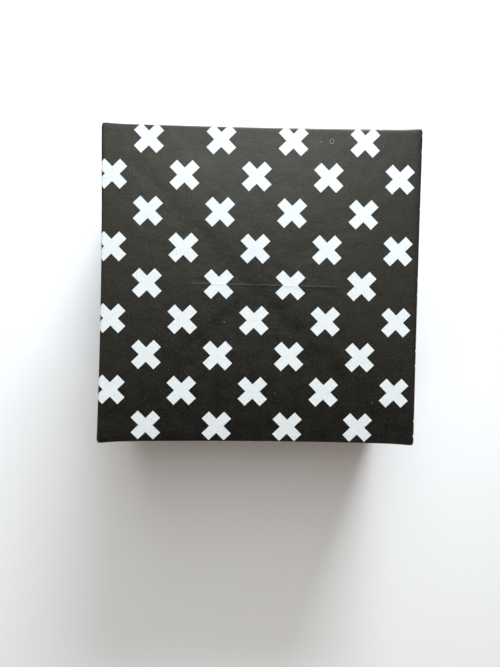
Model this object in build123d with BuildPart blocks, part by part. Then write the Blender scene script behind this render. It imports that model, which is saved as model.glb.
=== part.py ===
"""A masu box: one square sheet of printed paper, folded into an open square box.

The box lies mouth down, with its closed face up. The origin is in the middle
of the mouth, on the surface that the box rests on, and +Z points up. The two
end walls, at -X and +X, hold the folded-in corners of the sheet and are six
layers thick there. The two long walls, at -Y and +Y, are two layers thick.
All sizes are in millimetres.
"""
import os
from math import sqrt

from build123d import *

# Driving sizes
sheet_side = 304.8      # the flat square sheet, a twelve-inch craft paper
paper = 0.2             # thickness of the sheet
layer_gap = 0.06        # air between two layers that lie together
crease_bend = 0.15      # inside radius of a square crease
corner_proud = 0.25     # how far an end wall's folded edge stands out past the long wall
cut_edge_setback = 0.3  # how far the sheet's cut edge stays behind the slanting crease
flap_seam = 0.5         # slit between two neighbouring floor flaps

# The sheet's creases make the closed face half of its half diagonal, and the
# walls half of that face
box_side = sheet_side / (2 * sqrt(2))
half_side = box_side / 2
top = box_side / 2

# Layers lie a pitch apart, and a fold of 180 degrees goes round the ones inside it
pitch = paper + layer_gap
fold_radius = paper + layer_gap / 2
crease_radius = crease_bend + paper
tuck_rim_radius = fold_radius + pitch
end_rim_radius = tuck_rim_radius + pitch

# Heights where walls turn into their rim folds, the closed face and the floor flaps
rim_level = end_rim_radius
shoulder_level = top - crease_radius
flap_face = top - paper - pitch
flap_shoulder = flap_face - crease_bend

# The end wall's layers, counted inwards from its outer face
OUTER, TUCK_OUT, LINING_OUT, LINING_IN, TUCK_IN, INNER = range(6)


def end_face(layer):
    """Outer face of one layer of the end wall."""
    return half_side - layer * pitch


def fold_line(layer):
    """Middle of the fold that joins a layer of the end wall to the next one in."""
    return end_face(layer) - fold_radius


rim_line = end_face(OUTER) - end_rim_radius
long_rim_line = half_side - fold_radius
long_inner_face = half_side - paper - pitch

# The long wall turns the corner into the end wall's two lining layers
turn_radius = crease_bend + paper + pitch
turn_x = end_face(LINING_OUT) - turn_radius
turn_y = half_side - turn_radius

# Where the end wall's folded edges begin, outside and inside the long wall
outer_edge = half_side + corner_proud - fold_radius
inner_edge = long_inner_face - layer_gap - fold_radius

# The slanting crease rises at 45 degrees from the rim to the corner of the closed face
crease_drop = half_side + corner_proud - shoulder_level
slant_drop = crease_drop + fold_radius * sqrt(2)
cut_edge_drop = slant_drop + cut_edge_setback

# Where the floor flaps begin, and how far they stay behind the box's diagonals
end_flap_edge = end_face(INNER) - crease_radius
long_flap_edge = long_inner_face - crease_bend
seam_half = flap_seam / sqrt(2)


def fold_face(centre, outer_radius, start, sweep):
    """Section through bent paper: part of a ring, in the sketch that is open."""
    with BuildLine() as bend:
        outside = CenterArc(centre, outer_radius, start, sweep)
        inside = CenterArc(centre, outer_radius - paper, start, sweep)
        Line(outside @ 0, inside @ 0)
        Line(outside @ 1, inside @ 1)
    make_face(bend.edges())


def outline(*corners):
    """A flat layer's face, in the sketch that is open."""
    with BuildLine() as edge:
        Polyline(*corners, close=True)
    make_face(edge.edges())


def gusset_outline(side, drop):
    """Triangle under the slanting line, from the rim up to a layer's upright side."""
    outline((rim_level + drop, rim_level), (side, rim_level), (side, side - drop))


# One quarter of the box, at +X and +Y
with BuildPart() as quarter:
    # Closed face with its two square creases, mitred at the corner
    with BuildSketch(Plane.XY):
        Rectangle(half_side, half_side, align=Align.MIN)
    extrude(amount=top)
    top_edges = quarter.edges().group_by(Axis.Z)[-1]
    fillet([top_edges.sort_by(Axis.X)[-1], top_edges.sort_by(Axis.Y)[-1]], crease_radius)
    faces = quarter.faces()
    open_sides = [faces.sort_by(Axis.X)[0], faces.sort_by(Axis.Y)[0], faces.sort_by(Axis.Z)[0]]
    offset(amount=-paper, openings=open_sides)
    split(bisect_by=Plane.XY.offset(shoulder_level), keep=Keep.TOP)

    # End wall, outer layer, with the folded upright edge that leads to the tuck
    with BuildSketch(Plane.XY.offset(rim_level)):
        with Locations((end_face(OUTER) - paper, 0)):
            Rectangle(paper, outer_edge, align=Align.MIN)
        fold_face((fold_line(OUTER), outer_edge), fold_radius, 0, 180)
    extrude(amount=shoulder_level - rim_level)

    # End wall, inner layer, with its folded upright edge
    with BuildSketch(Plane.XY.offset(rim_level)):
        with Locations((end_face(INNER) - paper, 0)):
            Rectangle(paper, inner_edge, align=Align.MIN)
        fold_face((fold_line(TUCK_IN), inner_edge), fold_radius, 0, 180)
    extrude(amount=flap_shoulder - rim_level)

    # Long wall, outer layer, round the corner to the end wall
    with BuildSketch(Plane.XY.offset(rim_level)):
        with Locations((0, half_side - paper)):
            Rectangle(turn_x, paper, align=Align.MIN)
        fold_face((turn_x, turn_y), turn_radius, 0, 90)
    extrude(amount=shoulder_level - rim_level)

    # Long wall, inner layer, round the corner to the end wall
    with BuildSketch(Plane.XY.offset(rim_level)):
        with Locations((0, long_inner_face)):
            Rectangle(turn_x, paper, align=Align.MIN)
        fold_face((turn_x, turn_y), turn_radius - pitch, 0, 90)
    extrude(amount=flap_shoulder - rim_level)

    # The four triangular layers of the folded-in corner
    for layer, side, drop in (
        (TUCK_OUT, outer_edge, slant_drop),
        (LINING_OUT, turn_y, slant_drop),
        (LINING_IN, turn_y, cut_edge_drop),
        (TUCK_IN, inner_edge, cut_edge_drop),
    ):
        with BuildSketch(Plane.YZ.offset(end_face(layer))):
            gusset_outline(side, drop)
        extrude(amount=-paper)

    # Slanting crease between the tuck and the lining
    slant_foot = (fold_line(TUCK_OUT), rim_level + slant_drop, rim_level)
    with BuildSketch(Plane(slant_foot, x_dir=(1, 0, 0), z_dir=(0, 1, 1))):
        fold_face((0, 0), fold_radius, 0, -180)
    extrude(amount=(turn_y - slant_drop - rim_level) * sqrt(2))

    # Rim folds of the end wall, nested: outer to inner layer, tuck to tuck and
    # lining to lining. The outer halves of the first two reach the folded upright edge
    tuck_tip = rim_level + slant_drop
    for radius, tip in ((end_rim_radius, 0), (tuck_rim_radius, tuck_tip)):
        with BuildSketch(Plane.XZ.offset(-tip)):
            fold_face((rim_line, rim_level), radius, 0, -90)
        extrude(amount=tip - outer_edge)
        with BuildSketch(Plane.XZ.offset(-tip)):
            fold_face((rim_line, rim_level), radius, -90, -90)
        extrude(amount=tip - inner_edge)
    with BuildSketch(Plane.XZ.offset(-tuck_tip)):
        fold_face((rim_line, rim_level), fold_radius, 0, -180)
    extrude(amount=tuck_tip - turn_y)

    # Rim fold of the long wall, and the same fold going round the corner
    with BuildSketch(Plane.YZ):
        fold_face((long_rim_line, rim_level), fold_radius, 0, -180)
    extrude(amount=turn_x)
    with BuildSketch(Plane.YZ.offset(turn_x)):
        fold_face((long_rim_line, rim_level), fold_radius, 0, -180)
    revolve(axis=Axis((turn_x, turn_y, 0), (0, 0, -1)), revolution_arc=90)

    # Floor flap of the end wall and the crease above its inner layer
    with BuildSketch(Plane.XZ):
        fold_face((end_flap_edge, flap_shoulder), crease_radius, 0, 90)
    extrude(amount=seam_half - end_flap_edge)
    with BuildSketch(Plane.XY.offset(flap_face)):
        outline((seam_half, 0), (end_flap_edge, 0), (end_flap_edge, end_flap_edge - seam_half))
    extrude(amount=paper)

    # Floor flap of the long wall and the crease above its inner layer
    with BuildSketch(Plane.YZ):
        fold_face((long_flap_edge, flap_shoulder), crease_radius, 0, 90)
    extrude(amount=min(turn_x, long_flap_edge - seam_half))
    with BuildSketch(Plane.XY.offset(flap_face)):
        outline((0, seam_half), (0, long_flap_edge), (long_flap_edge - seam_half, long_flap_edge))
    extrude(amount=paper)

# The whole box is the quarter and its reflections
with BuildPart() as masu_box:
    add(quarter.part)
    mirror(about=Plane.YZ)
    mirror(about=Plane.XZ)

masu_box.part.label = "masu_box"
os.makedirs("parts", exist_ok=True)
export_step(masu_box.part, "parts/masu_box.step")
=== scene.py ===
"""A masu box folded from one printed sheet, lying mouth down on a pale floor.

The sheet starts flat, with its own place kept as its UV map, so that the print
runs on over every fold. It is then folded into the frame's layers: the closed
face, the outer walls, the tucked-in corners of the end walls, the inner walls and
the four floor flaps. Lengths are in metres.
"""
from math import cos, exp, pi, radians, sin, sqrt

import bmesh
import bpy
from mathutils import Matrix, Vector, noise


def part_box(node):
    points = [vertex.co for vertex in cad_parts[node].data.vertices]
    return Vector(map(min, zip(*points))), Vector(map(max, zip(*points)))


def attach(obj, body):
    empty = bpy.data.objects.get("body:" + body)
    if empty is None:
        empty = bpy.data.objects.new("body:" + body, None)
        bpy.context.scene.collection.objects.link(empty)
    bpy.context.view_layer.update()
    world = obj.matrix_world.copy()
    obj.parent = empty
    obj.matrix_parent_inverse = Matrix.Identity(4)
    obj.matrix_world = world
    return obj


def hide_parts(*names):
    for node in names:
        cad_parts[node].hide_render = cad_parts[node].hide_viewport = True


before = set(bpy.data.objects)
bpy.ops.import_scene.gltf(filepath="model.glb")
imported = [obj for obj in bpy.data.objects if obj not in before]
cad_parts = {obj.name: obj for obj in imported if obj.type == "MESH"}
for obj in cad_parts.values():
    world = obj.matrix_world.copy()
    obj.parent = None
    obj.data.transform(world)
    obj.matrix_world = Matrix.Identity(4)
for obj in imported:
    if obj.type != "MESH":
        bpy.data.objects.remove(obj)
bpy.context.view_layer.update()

MM = 0.001

# The frame's box: half the width of the closed face, half the depth with the folded edges
# that stand out beside the end walls, and the height of the walls
HALF_SIDE, HALF_DEPTH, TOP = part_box("masu_box")[1]

# The sheet and its layers, as in the frame. The pitch is from one layer's middle to the next
PAPER = 0.2 * MM
LAYER_GAP = 0.06 * MM
PITCH = PAPER + LAYER_GAP
FLAP_SEAM = 0.5 * MM
SEAM_HALF = FLAP_SEAM / sqrt(2)

# Middle radius of the open bends, and the flat width that a bend uses beside its crease
BASE_RADIUS = 0.5 * MM
CREASE_RADIUS = 0.25 * MM
BASE_REACH = BASE_RADIUS + PAPER / 2
NARROW_REACH = 0.4 * MM
RIM_REACH = 1.0 * MM

# One side of each bend: its middle radius, its part of a full turn and its reach. Where the
# sheet is folded right over, the radius is half the way between the two layers it joins
EIGHTH, QUARTER = pi / 4, pi / 2
NO_BEND = (0.0, 0.0, 0.0)
BASE_BEND = (BASE_RADIUS, EIGHTH, BASE_REACH)
SQUARE_BEND = (CREASE_RADIUS, EIGHTH, NARROW_REACH)
PAIR_FOLD = (PITCH / 2, QUARTER, NARROW_REACH)
TUCK_RIM_FOLD = (1.5 * PITCH, QUARTER, RIM_REACH)
END_RIM_FOLD = (2.5 * PITCH, QUARTER, RIM_REACH)
TURN_OUT = (CREASE_RADIUS + PITCH, EIGHTH, NARROW_REACH)
TURN_IN = (CREASE_RADIUS, EIGHTH, NARROW_REACH)

# Heights of the middle of the paper, and where the rim folds begin
FACE_HEIGHT = TOP - PAPER / 2
FLAP_HEIGHT = FACE_HEIGHT - PITCH
RIM_LEVEL = END_RIM_FOLD[0] + PAPER / 2
WALL_HEAD = FACE_HEIGHT - BASE_RADIUS
INNER_HEAD = FLAP_HEIGHT - CREASE_RADIUS

# Places of the folds in plan, for the quarter at +X and +Y, counted inwards in layers
WALL_FACE = HALF_SIDE - PAPER / 2
FACE_EDGE = WALL_FACE - BASE_RADIUS
TURN_X = WALL_FACE - 2 * PITCH - TURN_OUT[0]
TURN_Y = WALL_FACE - TURN_OUT[0]
OUTER_EDGE = HALF_DEPTH - PAPER / 2 - PITCH / 2
INNER_EDGE = WALL_FACE - 2.5 * PITCH - PAPER
END_FLAP_EDGE = WALL_FACE - 5 * PITCH - CREASE_RADIUS
LONG_FLAP_EDGE = WALL_FACE - PITCH - CREASE_RADIUS

# The flat sheet's creases are half a side apart, and its corners four of them out
CREASE = HALF_SIDE
SHEET_CREASES = 4
SHEET_REACH = SHEET_CREASES * CREASE

# A place this near to a crease or a cut counts as on it
TOUCH = 0.001 * MM


def along(place, span, first, last, first_bend=NO_BEND, last_bend=NO_BEND):
    """Where a flat place comes to lie across a panel that may bend at both ends.

    Gives the place along the panel, and how far the first and the last bend take
    the paper off its plane.
    """
    first_radius, first_turn, first_reach = first_bend
    last_radius, last_turn, last_reach = last_bend
    place = min(max(place, 0.0), span)
    way = 1 if last > first else -1
    if place < first_reach:
        angle = first_turn * (1 - place / first_reach)
        return first - way * first_radius * sin(angle), first_radius * (1 - cos(angle)), 0.0
    left = span - place
    if left < last_reach:
        angle = last_turn * (1 - left / last_reach)
        return last + way * last_radius * sin(angle), 0.0, last_radius * (1 - cos(angle))
    share = (place - first_reach) / (span - first_reach - last_reach)
    return first + share * (last - first), 0.0, 0.0


def layer_place(layer):
    """Middle plane of one layer of the end wall, counted inwards from 0."""
    return WALL_FACE - layer * PITCH


# The panels' foldings. Each takes a flat place, as its distances a and b from the sheet's
# middle along X and along Y, and gives where it lies in the quarter at +X and +Y
def closed_face(a, b):
    x, _, x_dip = along(a, CREASE, 0, FACE_EDGE, NO_BEND, BASE_BEND)
    y, _, y_dip = along(b, CREASE, 0, FACE_EDGE, NO_BEND, BASE_BEND)
    return x, y, FACE_HEIGHT - x_dip - y_dip


def end_outer(a, b):
    z, head, rim = along(a - CREASE, CREASE, WALL_HEAD, RIM_LEVEL, BASE_BEND, END_RIM_FOLD)
    y, _, side = along(b, CREASE, 0, OUTER_EDGE, NO_BEND, PAIR_FOLD)
    return layer_place(0) - head - rim - side, y, z


def end_inner(a, b):
    z, rim, head = along(a - 2 * CREASE, CREASE, RIM_LEVEL, INNER_HEAD, END_RIM_FOLD, SQUARE_BEND)
    y, _, side = along(b, CREASE, 0, INNER_EDGE, NO_BEND, PAIR_FOLD)
    return layer_place(5) + rim - head + side, y, z


def end_flap(a, b):
    scale = (END_FLAP_EDGE - SEAM_HALF) / CREASE
    x, dip, _ = along(a - 3 * CREASE, CREASE, END_FLAP_EDGE, SEAM_HALF, SQUARE_BEND, NO_BEND)
    return x, b * scale, FLAP_HEIGHT - dip


def long_outer(a, b):
    z, head, rim = along(b - CREASE, CREASE, WALL_HEAD, RIM_LEVEL, BASE_BEND, PAIR_FOLD)
    x, _, turn = along(a, CREASE, 0, TURN_X, NO_BEND, TURN_OUT)
    return x, WALL_FACE - head - rim - turn, z


def long_inner(a, b):
    z, rim, head = along(b - 2 * CREASE, CREASE, RIM_LEVEL, INNER_HEAD, PAIR_FOLD, SQUARE_BEND)
    x, _, turn = along(a, CREASE, 0, TURN_X, NO_BEND, TURN_IN)
    return x, WALL_FACE - PITCH + rim - head - turn, z


def long_flap(a, b):
    scale = (LONG_FLAP_EDGE - SEAM_HALF) / CREASE
    y, dip, _ = along(b - 3 * CREASE, CREASE, LONG_FLAP_EDGE, SEAM_HALF, SQUARE_BEND, NO_BEND)
    return a * scale, y, FLAP_HEIGHT - dip


def tuck_outer(a, b):
    z, _, rim = along(a - CREASE, CREASE, WALL_HEAD, RIM_LEVEL, NO_BEND, TUCK_RIM_FOLD)
    y, side, _ = along(b - CREASE, CREASE, OUTER_EDGE, 0, PAIR_FOLD, NO_BEND)
    return layer_place(1) - rim + side, y, z


def lining_outer(a, b):
    z, _, rim = along(b - CREASE, CREASE, WALL_HEAD, RIM_LEVEL, NO_BEND, PAIR_FOLD)
    y, turn, _ = along(a - CREASE, CREASE, TURN_Y, 0, TURN_OUT, NO_BEND)
    return layer_place(2) - rim - turn, y, z


def lining_inner(a, b):
    z, rim, _ = along(b - 2 * CREASE, CREASE, RIM_LEVEL, WALL_HEAD, PAIR_FOLD, NO_BEND)
    y, turn, _ = along(a - CREASE, CREASE, TURN_Y, 0, TURN_IN, NO_BEND)
    return layer_place(3) + rim - turn, y, z


def tuck_inner(a, b):
    z, rim, _ = along(a - 2 * CREASE, CREASE, RIM_LEVEL, WALL_HEAD, TUCK_RIM_FOLD, NO_BEND)
    y, side, _ = along(b - CREASE, CREASE, INNER_EDGE, 0, PAIR_FOLD, NO_BEND)
    return layer_place(4) + rim - side, y, z


# Each panel's folding, and its least and greatest distance from the sheet's middle in
# creases, along X and along Y
PANELS = (
    (closed_face, 0, 1, 0, 1),
    (end_outer, 1, 2, 0, 1),
    (end_inner, 2, 3, 0, 1),
    (end_flap, 3, 4, 0, 1),
    (long_outer, 0, 1, 1, 2),
    (long_inner, 0, 1, 2, 3),
    (long_flap, 0, 1, 3, 4),
    (tuck_outer, 1, 2, 1, 2),
    (lining_outer, 1, 2, 1, 2),
    (lining_inner, 1, 2, 2, 3),
    (tuck_inner, 2, 3, 1, 2),
)


def panels_at(a, b):
    """The panels that a flat place lies on: one, or all that meet at its crease."""
    for panel, a_least, a_most, b_least, b_most in PANELS:
        inside_a = a_least * CREASE - TOUCH <= a <= a_most * CREASE + TOUCH
        inside_b = b_least * CREASE - TOUCH <= b <= b_most * CREASE + TOUCH
        beyond = (panel is tuck_outer and b > a + TOUCH) or (panel is lining_outer and a > b + TOUCH)
        if inside_a and inside_b and not beyond:
            yield panel


def folded(u, v):
    """Where a flat place of the sheet lies once it is folded neatly."""
    a, b = abs(u), abs(v)
    places = [Vector(panel(a, b)) for panel in panels_at(a, b)]
    middle = sum(places, Vector()) / len(places)
    return Vector((middle.x if u >= 0 else -middle.x, middle.y if v >= 0 else -middle.y, middle.z))


# How the real box departs from the neat one. Its corners, seen from above
CORNERS = {
    (-1, 1): Vector((-53.05, 52.95)) * MM,
    (1, 1): Vector((53.8, 53.4)) * MM,
    (-1, -1): Vector((-53.87, -53.3)) * MM,
    (1, -1): Vector((53.7, -52.75)) * MM,
}
# How far the middle of each edge is drawn in from the line between its corners
BOW_LEFT, BOW_RIGHT, BOW_FAR, BOW_NEAR = 0.75 * MM, 0.22 * MM, 0.50 * MM, 0.72 * MM


def outline_shift(x, y):
    """How far the box's real outline moves a place in plan from the neat square."""
    s = max(-1.0, min(1.0, x / HALF_SIDE))
    t = max(-1.0, min(1.0, y / HALF_SIDE))
    right = (CORNERS[1, 1].x * (1 + t) + CORNERS[1, -1].x * (1 - t)) / 2 - BOW_RIGHT * (1 - t * t)
    left = (CORNERS[-1, 1].x * (1 + t) + CORNERS[-1, -1].x * (1 - t)) / 2 + BOW_LEFT * (1 - t * t)
    far = (CORNERS[1, 1].y * (1 + s) + CORNERS[-1, 1].y * (1 - s)) / 2 - BOW_FAR * (1 - s * s)
    near = (CORNERS[1, -1].y * (1 + s) + CORNERS[-1, -1].y * (1 - s)) / 2 + BOW_NEAR * (1 - s * s)
    x_shift = (right - HALF_SIDE) * (1 + s) / 2 + (left + HALF_SIDE) * (1 - s) / 2
    y_shift = (far - HALF_SIDE) * (1 + t) / 2 + (near + HALF_SIDE) * (1 - t) / 2
    return Vector((x_shift, y_shift, 0))


# How far the corners of the closed face stand proud of that outline, and how blunt they are
CORNER_EARS = {
    (-1, -1): Vector((0.0, -0.3, 0)) * MM,
    (1, -1): Vector((0.0, -0.25, 0)) * MM,
    (-1, 1): Vector((0.1, 0.3, 0)) * MM,
    (1, 1): Vector((0.05, 0.35, 0)) * MM,
}
EAR_SIZE = 4.2 * MM
BLUNT_RADIUS = 1.25 * MM
BLUNT_DEPTH = 4.0 * MM

# Slow waviness of the whole folded sheet, which all its layers share
WAVE_LENGTH = 38.0 * MM
WAVE_HEIGHT = 0.22 * MM
WAVE_SEED = 4
noise.seed_set(WAVE_SEED)


def smooth(value):
    """0 below 0, 1 above 1, and smooth between them."""
    share = max(0.0, min(1.0, value))
    return share * share * (3 - 2 * share)


def corner_ear(place):
    """How far a corner of the closed face stands proud, near that corner only."""
    corner = (1 if place.x > 0 else -1, 1 if place.y > 0 else -1)
    middle = Vector((corner[0] * WALL_FACE, corner[1] * WALL_FACE, WALL_HEAD))
    away = (place - middle).length / EAR_SIZE
    return CORNER_EARS[corner] * exp(-away * away)


def blunted(place):
    """Rounds off the corners of the closed face, and less and less further down."""
    centre = WALL_FACE - BLUNT_RADIUS
    x_in, y_in = abs(place.x) - centre, abs(place.y) - centre
    if x_in <= 0 or y_in <= 0:
        return place
    share = max(x_in, y_in) / sqrt(x_in * x_in + y_in * y_in)
    share += (1 - share) * smooth((TOP - place.z) / BLUNT_DEPTH)
    x, y = centre + x_in * share, centre + y_in * share
    return Vector((x if place.x > 0 else -x, y if place.y > 0 else -y, place.z))


def waviness(place):
    """Slow uneven movement of the walls, none at the edges of the closed face."""
    share = max(0.0, min(1.0, (TOP - place.z) / TOP))
    return noise.noise_vector(place / WAVE_LENGTH) * (WAVE_HEIGHT * share)


# The sheet's mesh is cut by a grid, and closer on both sides of each crease: at shares of the
# reach of its bends, and at some distances more where the closed face ends
CREASE_GRID = 16
GRID_STEP = CREASE / CREASE_GRID
COARSE_CUTS, FINE_CUTS = (0.5, 1.0), (0.25, 0.5, 0.75, 1.0)
PAST_BASE_BEND = (0.9 * MM, 1.3 * MM, 1.8 * MM, 2.4 * MM)

# Relief of the closed face: how its edges hang and roll over, and how it sinks along both
# diagonals, where the seams between the floor flaps lie beneath it
FAR_HANG, NEAR_HANG, SIDE_HANG = 0.35 * MM, 1.3 * MM, 0.45 * MM
HANG_POWER, CORNER_POWER = 4, 8
EDGE_ROLL, ROLL_WIDTH = 0.22 * MM, 2.4 * MM
SEAM_HANG, SEAM_HANG_WIDTH = 0.08 * MM, 8.0 * MM

# The steps at those seams, where one flap lifts the face more than the next: along the
# falling diagonal, and along the rising one on the near left and on the far right
FALLING_STEP, NEAR_LEFT_STEP, FAR_RIGHT_STEP = 0.20 * MM, 0.09 * MM, 0.07 * MM
STEP_WIDTH = 3 * GRID_STEP / sqrt(2)
STEP_FADE = 36.0 * MM

# A shallow hollow by the far edge, and a pinch in the middle as a fine raised line
HOLLOW_PLACE, HOLLOW_RADIUS, HOLLOW_DEPTH = Vector((-17.8, 44.8)) * MM, 10.0 * MM, 0.22 * MM
PINCH_START, PINCH_END = Vector((-23.5, 0.54)) * MM, Vector((26.0, 0.35)) * MM
PINCH_HALF_WIDTH, PINCH_HEIGHT = 0.28 * MM, 0.05 * MM
LINE_FADE = 2.0 * MM


def flap_lift(x, y):
    """How high the floor flaps lift the closed face here."""
    far_side = smooth((y + x) / (sqrt(2) * STEP_WIDTH) + 0.5)
    left_side = smooth((y - x) / (sqrt(2) * STEP_WIDTH) + 0.5)
    height = far_side * (FALLING_STEP + left_side * FAR_RIGHT_STEP)
    height += (1 - far_side) * left_side * NEAR_LEFT_STEP
    return height * (1 - smooth((max(abs(x), abs(y)) - CREASE) / STEP_FADE + 1))


def pinch_height(x, y):
    """The raised line's height above the closed face."""
    run = PINCH_END - PINCH_START
    away = Vector((x, y)) - (PINCH_START + PINCH_END) / 2
    way = run.normalized()
    beyond = abs(away.dot(way)) - run.length / 2
    aside = abs(away.cross(way))
    return PINCH_HEIGHT * (1 - smooth(aside / PINCH_HALF_WIDTH)) * (1 - smooth(beyond / LINE_FADE + 1))


def face_dip(x, y):
    """How far the closed face, and all that hangs from it, lies below the neat square's height.

    It makes room for the highest flap and the pinch, which are then added to the face.
    """
    s = min(1.0, abs(x) / HALF_SIDE)
    t = min(1.0, abs(y) / HALF_SIDE)
    edge_hang = (FAR_HANG if y > 0 else NEAR_HANG) * t ** HANG_POWER * (1 - s ** CORNER_POWER)
    hang = SIDE_HANG * s ** HANG_POWER + edge_hang
    roll = 0.0
    for place in (abs(x), abs(y)):
        roll += EDGE_ROLL * max(0.0, 1 - max(0.0, WALL_FACE - place) / ROLL_WIDTH) ** 2
    to_seam = abs(abs(x) - abs(y)) / sqrt(2)
    seam = SEAM_HANG * exp(-((to_seam / SEAM_HANG_WIDTH) ** 2))
    hollow = HOLLOW_DEPTH * (1 - smooth((Vector((x, y)) - HOLLOW_PLACE).length / HOLLOW_RADIUS))
    return hang + roll + seam + hollow + FALLING_STEP + FAR_RIGHT_STEP + PINCH_HEIGHT


def distance_to_fold(a, b):
    """How far a flat place is from the nearest crease."""
    distances = [abs(place - count * CREASE) for place in (a, b) for count in (1, 2, 3)]
    if a > CREASE and b > CREASE:
        distances.append(abs(a - b) / sqrt(2))
    return min(distances)


# Cuts that let the closed face's mesh follow its steps and its pinch, as shares of the step's
# width from a diagonal, and of the pinch's half width from the sheet's middle line
STEP_CUTS = (-0.5, -0.25, 0.0, 0.25, 0.5)
PINCH_CUTS = (-1.0, 0.5, 1.0, 1.5, 2.0, 2.7)
PINCH_REACH = CREASE / 2
MERGE = 10 * TOUCH
ACROSS_X, ACROSS_Y = Vector((1, 0, 0)), Vector((0, 1, 0))
ACROSS_DIAGONALS = (Vector((1, -1, 0)), Vector((1, 1, 0)))


def on_tucked_corner(middle):
    return CREASE < abs(middle.x) < 2 * CREASE and CREASE < abs(middle.y) < 2 * CREASE


def on_closed_face(middle):
    return max(abs(middle.x), abs(middle.y)) < CREASE


def near_pinch(middle):
    return abs(middle.x) < PINCH_REACH and abs(middle.y) < GRID_STEP


def chosen_faces(sheet, chosen):
    return [face for face in sheet.faces if chosen(face.calc_center_median())]


def cut(sheet, place, normal, chosen=None):
    """Cuts the sheet along a plane, all of it or the faces whose middle is chosen."""
    if chosen is None:
        geom = sheet.verts[:] + sheet.edges[:] + sheet.faces[:]
    else:
        faces = chosen_faces(sheet, chosen)
        edges = dict.fromkeys(edge for face in faces for edge in face.edges)
        verts = dict.fromkeys(vert for face in faces for vert in face.verts)
        geom = [*verts, *edges, *faces]
    bmesh.ops.bisect_plane(sheet, geom=geom, plane_co=place, plane_no=normal, dist=TOUCH)


def cut_places():
    """Where the flat sheet is cut across X and across Y, in order."""
    places = {0.0}
    for step in range(1, SHEET_CREASES * CREASE_GRID):
        places.update((step * GRID_STEP, -step * GRID_STEP))
    beside_first = [share * NARROW_REACH for share in FINE_CUTS]
    beside_first += [share * BASE_REACH for share in COARSE_CUTS]
    beside_first += PAST_BASE_BEND
    beside_second = [share * RIM_REACH for share in FINE_CUTS]
    beside_second += [share * NARROW_REACH for share in COARSE_CUTS]
    beside_third = [share * NARROW_REACH for share in FINE_CUTS]
    for count, distances in enumerate((beside_first, beside_second, beside_third), 1):
        for distance in distances:
            for place in (count * CREASE - distance, count * CREASE + distance):
                places.update((place, -place))
    return sorted(places)


def flat_sheet():
    """The flat sheet, cut so that its mesh can follow its folds and the closed face's relief."""
    sheet = bmesh.new()
    bmesh.ops.create_circle(sheet, cap_ends=True, segments=4, radius=SHEET_REACH)
    for normal in (ACROSS_X, ACROSS_Y):
        for place in cut_places():
            cut(sheet, normal * place, normal)
    edges = dict.fromkeys(edge for face in chosen_faces(sheet, on_closed_face) for edge in face.edges)
    bmesh.ops.subdivide_edges(sheet, edges=[*edges], cuts=1, use_grid_fill=True)
    for normal in ACROSS_DIAGONALS:
        cut(sheet, Vector(), normal, on_tucked_corner)
        for share in STEP_CUTS:
            cut(sheet, normal.normalized() * (share * STEP_WIDTH), normal, on_closed_face)
    for share in PINCH_CUTS:
        cut(sheet, ACROSS_Y * (share * PINCH_HALF_WIDTH), ACROSS_Y, near_pinch)
    bmesh.ops.remove_doubles(sheet, verts=sheet.verts, dist=MERGE)
    return sheet


def keep_flat_places(sheet):
    """Keeps what the paints need: each flat place, and its distance from the nearest crease."""
    flat_layer = sheet.loops.layers.uv.new("flat_sheet")
    fold_layer = sheet.verts.layers.float.new("to_fold")
    for face in sheet.faces:
        for loop in face.loops:
            place = loop.vert.co
            shift = outline_shift(place.x, place.y)
            loop[flat_layer].uv = (place.x + shift.x, place.y + shift.y)
    for vert in sheet.verts:
        vert[fold_layer] = distance_to_fold(abs(vert.co.x), abs(vert.co.y))


def handled(place):
    """Where a neatly folded place lies on the real box."""
    on_face = place.z > FACE_HEIGHT - PITCH / 2
    ear = corner_ear(place)
    place = blunted(place)
    place += outline_shift(place.x, place.y) + ear
    wave = waviness(place)
    place += Vector((wave.x, wave.y, 0))
    place.x = max(-WALL_FACE, min(WALL_FACE, place.x))
    upper_share = max(0.0, 2 * place.z / TOP - 1)
    place.z -= face_dip(place.x, place.y) * upper_share
    if on_face:
        place.z += flap_lift(place.x, place.y) + pinch_height(place.x, place.y)
    return place


def fold_sheet():
    """The sheet, folded up. Its cut edges are sharp, and all its folds are smooth."""
    sheet = flat_sheet()
    keep_flat_places(sheet)
    for face in sheet.faces:
        face.smooth = True
    for edge in sheet.edges:
        edge.smooth = not edge.is_boundary
    for vert in sheet.verts:
        vert.co = handled(folded(vert.co.x, vert.co.y))
    return sheet


class Signal:
    """A shader socket that can be used in Python sums."""

    def __init__(self, paint, socket):
        self.paint = paint
        self.socket = socket

    def math(self, operation, other=0.0):
        return self.paint.node("ShaderNodeMath", {"operation": operation}, {0: self, 1: other})

    def __add__(self, other):
        return self.math("ADD", other)

    def __sub__(self, other):
        return self.math("SUBTRACT", other)

    def __rsub__(self, other):
        return self.paint.node("ShaderNodeMath", {"operation": "SUBTRACT"}, {0: other, 1: self})

    def __mul__(self, other):
        return self.math("MULTIPLY", other)

    def __truediv__(self, other):
        return self.math("DIVIDE", other)

    __radd__ = __add__
    __rmul__ = __mul__

    def __abs__(self):
        return self.math("ABSOLUTE")

    def least(self, other):
        return self.math("MINIMUM", other)

    def most(self, other):
        return self.math("MAXIMUM", other)

    def fade(self, start, end):
        """1 below start, 0 above end, and smooth between them."""
        sockets = {"Value": self, "From Min": start, "From Max": end, "To Min": 1.0, "To Max": 0.0}
        return self.paint.node("ShaderNodeMapRange", {"interpolation_type": "SMOOTHSTEP"}, sockets)


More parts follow.
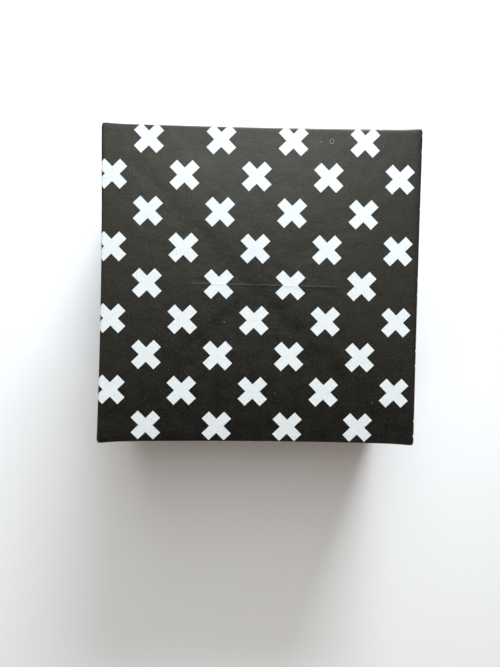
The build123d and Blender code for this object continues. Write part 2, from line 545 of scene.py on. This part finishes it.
class Paint:
    """A material or a world, built up from nodes."""

    def __init__(self, owner):
        self.owner = owner
        owner.use_nodes = True
        self.tree = owner.node_tree
        self.tree.nodes.clear()

    def node(self, kind, settings, sockets, output=0):
        """Adds a node, makes its settings, then sets or links its sockets, and gives one output."""
        node = self.tree.nodes.new(kind)
        for name, value in settings.items():
            setattr(node, name, value)
        for key, value in sockets.items():
            if isinstance(value, Signal):
                self.tree.links.new(value.socket, node.inputs[key])
            else:
                node.inputs[key].default_value = value
        return Signal(self, node.outputs[output]) if node.outputs else None

    def mix(self, factor, low, high):
        """One colour turning into another as the factor goes from 0 to 1."""
        return self.node("ShaderNodeMix", {"data_type": "RGBA"}, {0: factor, 6: low, 7: high}, 2)

    def noise(self, vector, spots):
        """Smooth noise about 0, with spots of a size in metres, a detail and a roughness."""
        size, detail, roughness = spots
        sockets = {"Vector": vector, "Scale": 1 / size, "Detail": detail, "Roughness": roughness}
        return self.node("ShaderNodeTexNoise", {"noise_dimensions": "2D"}, sockets) - 0.5

    def parts(self, vector):
        """The X and Y of a vector."""
        return [self.node("ShaderNodeSeparateXYZ", {}, {0: vector}, axis) for axis in (0, 1)]

    def finish(self, shader, kind="ShaderNodeOutputMaterial"):
        self.node(kind, {}, {"Surface": shader})
        return self.owner


# The print: crosses on a square lattice that follows the sheet's own edges
RISING_PITCH = 16.892 * MM
FALLING_PITCH = 16.821 * MM
PRINT_STRETCH = 1.0013
CROSS_ARM_SHARE = 0.2005
CROSS_LENGTH_SHARE = 0.627
PRINT_ORIGIN = Vector((-1.494, 0.633)) * MM
INK_EDGE_SHARE = 0.0022
INK = (0.0036, 0.0034, 0.0028, 1.0)
INK_SHEEN = (1.0, 0.97, 0.85, 1.0)
WORN_INK = (0.060, 0.058, 0.054, 1.0)
BARE_PAPER = (0.765, 0.795, 0.80, 1.0)
GREY_PAPER = (0.58, 0.62, 0.63, 1.0)
INK_ROUGHNESS, PAPER_ROUGHNESS, BACK_ROUGHNESS = 0.39, 0.62, 0.8

# The paper's noises, each as the size of its spots, its detail and its roughness
FIBRES = (0.70 * MM, 3.0, 0.6)
TOOTH = (0.28 * MM, 2.0, 0.5)
SPECKLE = (0.65 * MM, 3.0, 0.7)
MOTTLE = (5.0 * MM, 4.0, 0.65)
SOFT_MOTTLE = (5.0 * MM, 2.0, 0.5)
WEAR_PATCHES = (1.1 * MM, 4.0, 0.7)
FIBRE_HEIGHT, TOOTH_HEIGHT, MOTTLE_HEIGHT = 0.036 * MM, 0.010 * MM, 0.11 * MM
FIBRE_SQUEEZE = (1.0, 1.6, 1.0)

# Wear along the folds: its width, and how much of it there is in its patches
WEAR_WIDTH = 0.34 * MM
WEAR_USUAL, WEAR_MOST = 0.32, 0.6

# How strongly wear, the pinches and the noises turn ink into worn ink and white into grey,
# and how much rougher they make the sheet. The flaps' edges polish it. The pinches' grey on
# the white is painted shade along the crease
INK_WEAR, INK_PINCH, INK_SPECKLE = 0.9, 0.3, 1.6
GREY_WEAR, PINCH_PAINTED_SHADE, GREY_MOTTLE, GREY_SPECKLE, BACK_MOTTLE = 0.3, 0.55, 0.12, 2.6, 0.3
ROUGH_WEAR, ROUGH_MOTTLE, ROUGH_FIBRES, FLAP_POLISH = 0.15, 0.26, 0.12, 0.045

# Lines on the closed face in millimetres, each from one place to another with its half width
# and strength: the flaps' edges, which rub the print from beneath, and a faint short pinch
FLAP_EDGES = (
    ((-44.0, 38.4), (-1.0, 0.6), 2.8, 0.8),
    ((-1.0, 0.6), (46.0, -47.0), 3.4, 0.3),
    ((-1.0, 0.0), (-31.0, -25.5), 2.8, 0.9),
    ((4.0, 5.0), (40.0, 40.0), 3.2, 0.2),
)
LONG_PINCH = (PINCH_START / MM, PINCH_END / MM, PINCH_HALF_WIDTH / MM, 1.0)
SHORT_PINCH = ((-0.6, 12.0), (0.4, -4.0), 0.30, 0.12)


def line(x, y, start, end, half_width, strength):
    """The strength along a straight line given in millimetres, and 0 away from it."""
    run = (Vector(end) - Vector(start)) * MM
    middle = (Vector(end) + Vector(start)) * (MM / 2)
    way = run.normalized()
    beyond = abs((x - middle.x) * way.x + (y - middle.y) * way.y)
    aside = abs((x - middle.x) * way.y - (y - middle.y) * way.x)
    half_length = run.length / 2
    on_line = aside.fade(0.0, half_width * MM) * beyond.fade(half_length - LINE_FADE, half_length)
    return on_line * strength


def printed_crosses(across, up, speckle):
    """1 on the print's crosses, where the paper stays white, and 0 on the ink."""
    u = (across - PRINT_ORIGIN.x) / PRINT_STRETCH
    v = up - PRINT_ORIGIN.y
    p = abs(((u + v) / (RISING_PITCH * sqrt(2))).math("FRACT") - 0.5)
    q = abs(((u - v) / (FALLING_PITCH * sqrt(2))).math("FRACT") - 0.5)
    arm, length = CROSS_ARM_SHARE / 2, CROSS_LENGTH_SHARE / 2
    bar = (p - length).most(q - arm)
    other_bar = (q - length).most(p - arm)
    return (bar.least(other_bar) + speckle * INK_EDGE_SHARE).fade(-INK_EDGE_SHARE, INK_EDGE_SHARE)


def paper_bump(paint, place):
    """The normal of the paper, with the heights of its fibres, tooth and mottling."""
    sockets = {0: place, 1: FIBRE_SQUEEZE}
    squeezed = paint.node("ShaderNodeVectorMath", {"operation": "MULTIPLY"}, sockets)
    height = paint.noise(squeezed, FIBRES) * FIBRE_HEIGHT
    height += paint.noise(place, TOOTH) * TOOTH_HEIGHT
    height += paint.noise(place, SOFT_MOTTLE) * MOTTLE_HEIGHT
    return paint.node("ShaderNodeBump", {}, {"Strength": 1.0, "Distance": 1.0, "Height": height})


def printed_paper():
    """Satin black ink round white crosses, worn where it is folded and rubbed by the flaps."""
    paint = Paint(bpy.data.materials.new("printed_paper"))
    place = paint.node("ShaderNodeUVMap", {"uv_map": "flat_sheet"}, {})
    across, up = paint.parts(place)
    speckle = paint.noise(place, SPECKLE)
    mottle = paint.noise(place, MOTTLE)
    cross = printed_crosses(across, up, speckle)
    pinch = line(across, up, *LONG_PINCH).most(line(across, up, *SHORT_PINCH))
    flap_edge = 0.0
    for edge in FLAP_EDGES:
        flap_edge += line(across, up, *edge)
    to_fold = paint.node("ShaderNodeAttribute", {"attribute_name": "to_fold"}, {}, "Fac")
    patchy = (paint.noise(place, WEAR_PATCHES) + WEAR_USUAL).most(0.0).least(WEAR_MOST)
    wear = to_fold.fade(0.0, WEAR_WIDTH) * patchy

    worn = wear * INK_WEAR + pinch * INK_PINCH + speckle * INK_SPECKLE
    ink = paint.mix(worn.most(0.0), INK, WORN_INK)
    # On the white, the pinches' grey is painted shade along the crease; wear, mottling and speckle are
    # the paper's own grey
    grey = pinch * PINCH_PAINTED_SHADE + wear * GREY_WEAR + mottle * GREY_MOTTLE + speckle * GREY_SPECKLE
    white = paint.mix(grey.most(0.0), BARE_PAPER, GREY_PAPER)
    roughness = INK_ROUGHNESS + cross * (PAPER_ROUGHNESS - INK_ROUGHNESS) + wear * ROUGH_WEAR
    roughness += mottle * ROUGH_MOTTLE + paint.noise(place, FIBRES) * ROUGH_FIBRES
    roughness -= flap_edge * FLAP_POLISH
    sockets = {
        "Base Color": paint.mix(cross, ink, white),
        "Roughness": roughness,
        "Normal": paper_bump(paint, place),
        "Specular Tint": INK_SHEEN,
    }
    return paint.finish(paint.node("ShaderNodeBsdfPrincipled", {}, sockets))


def bare_paper():
    """The unprinted back of the sheet, and its cut edges."""
    paint = Paint(bpy.data.materials.new("bare_paper"))
    place = paint.node("ShaderNodeUVMap", {"uv_map": "flat_sheet"}, {})
    grey = (paint.noise(place, MOTTLE) * BACK_MOTTLE).most(0.0)
    sockets = {
        "Base Color": paint.mix(grey, BARE_PAPER, GREY_PAPER),
        "Roughness": BACK_ROUGHNESS,
        "Normal": paper_bump(paint, place),
    }
    return paint.finish(paint.node("ShaderNodeBsdfPrincipled", {}, sockets))


def finished_mesh(name, shape, *materials):
    mesh = bpy.data.meshes.new(name)
    shape.to_mesh(mesh)
    shape.free()
    for material in materials:
        mesh.materials.append(material)
    return mesh


def add_object(name, data):
    added = bpy.data.objects.new(name, data)
    bpy.context.scene.collection.objects.link(added)
    return added


def make_box():
    mesh = finished_mesh("masu_box_folded", fold_sheet(), printed_paper(), bare_paper())
    box = add_object("masu_box_folded", mesh)
    solidify = box.modifiers.new("paper", "SOLIDIFY")
    solidify.thickness = PAPER
    solidify.offset = 0
    solidify.material_offset = 1
    solidify.material_offset_rim = 1
    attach(box, "root")
    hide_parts("masu_box")


# Dirt on the closed face: a curl of lint, open towards the far left, and four flakes, each
# with its place and half width in millimetres
LINT_COLOUR = (0.45, 0.45, 0.40, 1.0)
LINT_ROUGHNESS = 0.9
CURL_PLACE, CURL_RADIUS, CURL_THICKNESS = Vector((23.2, 48.5)) * MM, 0.62 * MM, 0.13 * MM
CURL_START, CURL_TURN, CURL_STRETCH = radians(130), radians(320), 1.2
CURL_SIDES, CURL_STEPS = 6, 22
FLAKES = ((19.5, 48.4, 0.16), (-11.4, -12.0, 0.18), (6.0, -35.5, 0.13), (38.8, -38.4, 0.15))
FLAKE_SHAPE = Matrix.Diagonal((1, 0.8, 0.12, 1))


def face_top(x, y):
    """A place on the printed side of the closed face."""
    return Vector((x, y, FACE_HEIGHT + PAPER / 2 - face_dip(x, y) + flap_lift(x, y)))


def put_in_order(shape):
    """Sorts edges and faces by their vertices, because spin leaves them in no fixed order."""
    shape.verts.index_update()
    count = len(shape.verts)

    def first_and_last(part):
        places = [vert.index for vert in part.verts]
        return min(places) * count + max(places)

    shape.edges.sort(key=first_and_last)
    shape.faces.sort(key=first_and_last)


def add_curl(lint):
    radius = CURL_THICKNESS / 2
    upright = Matrix.Translation((CURL_RADIUS, 0, radius)) @ Matrix.Rotation(QUARTER, 4, "X")
    bmesh.ops.create_circle(lint, cap_ends=True, segments=CURL_SIDES, radius=radius, matrix=upright)
    end = lint.verts[:] + lint.edges[:] + lint.faces[:]
    bmesh.ops.spin(lint, geom=end, cent=Vector(), axis=(0, 0, 1), angle=CURL_TURN, steps=CURL_STEPS)
    put_in_order(lint)
    place = Matrix.Translation(face_top(*CURL_PLACE)) @ Matrix.Diagonal((1, CURL_STRETCH, 1, 1))
    place = place @ Matrix.Rotation(CURL_START, 4, "Z")
    bmesh.ops.transform(lint, matrix=place, verts=lint.verts)


def make_lint():
    lint = bmesh.new()
    add_curl(lint)
    for x, y, size in FLAKES:
        place = Matrix.Translation(face_top(x * MM, y * MM))
        bmesh.ops.create_icosphere(lint, subdivisions=1, radius=size * MM, matrix=place @ FLAKE_SHAPE)
    bmesh.ops.recalc_face_normals(lint, faces=lint.faces)
    paint = Paint(bpy.data.materials.new("lint"))
    sockets = {"Base Color": LINT_COLOUR, "Roughness": LINT_ROUGHNESS}
    material = paint.finish(paint.node("ShaderNodeBsdfPrincipled", {}, sockets))
    dirt = add_object("lint", finished_mesh("lint", lint, material))
    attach(dirt, "root")


# The floor near the box takes the light; far from it, it and the room go over into one
# plain white, which only the camera sees
FLOOR_COLOUR = (0.90, 0.90, 0.90, 1.0)
FLOOR_ROUGHNESS = 0.7
FLOOR_HALF_SIDE = 2.0
BACKDROP = (0.93, 0.93, 0.93, 1.0)
BACKDROP_START, BACKDROP_END = 0.32, 0.75
ROOM_GLOW = (0.004, 0.004, 0.004, 1.0)


def make_floor():
    paint = Paint(bpy.data.materials.new("floor"))
    sockets = {"Base Color": FLOOR_COLOUR, "Roughness": FLOOR_ROUGHNESS}
    lit = paint.node("ShaderNodeBsdfPrincipled", {}, sockets)
    plain = paint.node("ShaderNodeEmission", {}, {"Color": BACKDROP})
    place = paint.node("ShaderNodeTexCoord", {}, {}, "Object")
    distance = paint.node("ShaderNodeVectorMath", {"operation": "LENGTH"}, {0: place}, "Value")
    far = 1 - distance.fade(BACKDROP_START, BACKDROP_END)
    seen = paint.node("ShaderNodeLightPath", {}, {}, "Is Camera Ray") * far
    surface = paint.node("ShaderNodeMixShader", {}, {0: seen, 1: lit, 2: plain})
    plate = bmesh.new()
    bmesh.ops.create_grid(plate, x_segments=1, y_segments=1, size=FLOOR_HALF_SIDE)
    floor = add_object("floor", finished_mesh("floor", plate, paint.finish(surface)))


def make_room():
    """A dim room all round, which the camera sees as the plain white backdrop."""
    paint = Paint(bpy.data.worlds.new("room"))
    dim = paint.node("ShaderNodeBackground", {}, {"Color": ROOM_GLOW})
    plain = paint.node("ShaderNodeBackground", {}, {"Color": BACKDROP})
    seen = paint.node("ShaderNodeLightPath", {}, {}, "Is Camera Ray")
    surface = paint.node("ShaderNodeMixShader", {}, {0: seen, 1: dim, 2: plain})
    bpy.context.scene.world = paint.finish(surface, "ShaderNodeOutputWorld")


# Soft studio lamps round the box: where from in degrees round it and above the floor, the
# width and height in metres, the power in watts and the colour
LAMPS = {
    "window": (12, 22, 0.34, 0.22, 10.1, (0.84, 0.92, 1.0)),
    "overhead": (0, 52, 0.60, 0.80, 5.05, (0.94, 0.99, 0.99)),
    "side_left": (-80, 60, 0.35, 0.35, 0.35, (1.0, 0.86, 0.66)),
    "side_right": (80, 60, 0.35, 0.35, 0.35, (1.0, 0.86, 0.66)),
    "room_left": (230, 20, 0.35, 0.25, 1.35, (0.90, 0.87, 0.96)),
    "room_right": (150, 25, 0.35, 0.25, 0.90, (1.0, 0.80, 0.62)),
}
LAMP_DISTANCE = 0.8
LAMP_TARGET = Vector((0, 0, 0.03))


def make_lights():
    for name, (round_box, above, width, height, power, colour) in LAMPS.items():
        lamp = bpy.data.lights.new(name, "AREA")
        lamp.shape = "RECTANGLE"
        lamp.size = width
        lamp.size_y = height
        lamp.energy = power
        lamp.color = colour
        azimuth, elevation = radians(round_box), radians(above)
        level = cos(elevation)
        direction = Vector((sin(azimuth) * level, cos(azimuth) * level, sin(elevation)))
        holder = add_object(name, lamp)
        holder.location = LAMP_TARGET + direction * LAMP_DISTANCE
        holder.rotation_euler = direction.to_track_quat("Z", "Y").to_euler()


# The camera: its place above the closed face, its turn from looking straight down as an axis
# with the angle as its length, and its lens, for the photograph's longer side
CAMERA_PLACE = Vector((-6.287, -9.29, 179.70)) * MM
CAMERA_TURN = Vector((0.0355, 0.0194, -0.0179))
FOCAL_PIXELS = 539
LONG_SIDE_PIXELS = 667
SENSOR_WIDTH = 36
CLIP_START = 0.01


def make_camera():
    lens = bpy.data.cameras.new("camera")
    lens.sensor_width = SENSOR_WIDTH
    lens.lens = FOCAL_PIXELS / LONG_SIDE_PIXELS * SENSOR_WIDTH
    lens.clip_start = CLIP_START
    camera = add_object("camera", lens)
    turn = Matrix.Rotation(CAMERA_TURN.length, 4, CAMERA_TURN.normalized()).inverted()
    camera.matrix_world = Matrix.Translation(CAMERA_PLACE + Vector((0, 0, TOP))) @ turn
    bpy.context.scene.camera = camera


make_box()
make_lint()
make_floor()
make_lights()
make_room()
make_camera()
bpy.context.scene.view_settings.view_transform = "Standard"
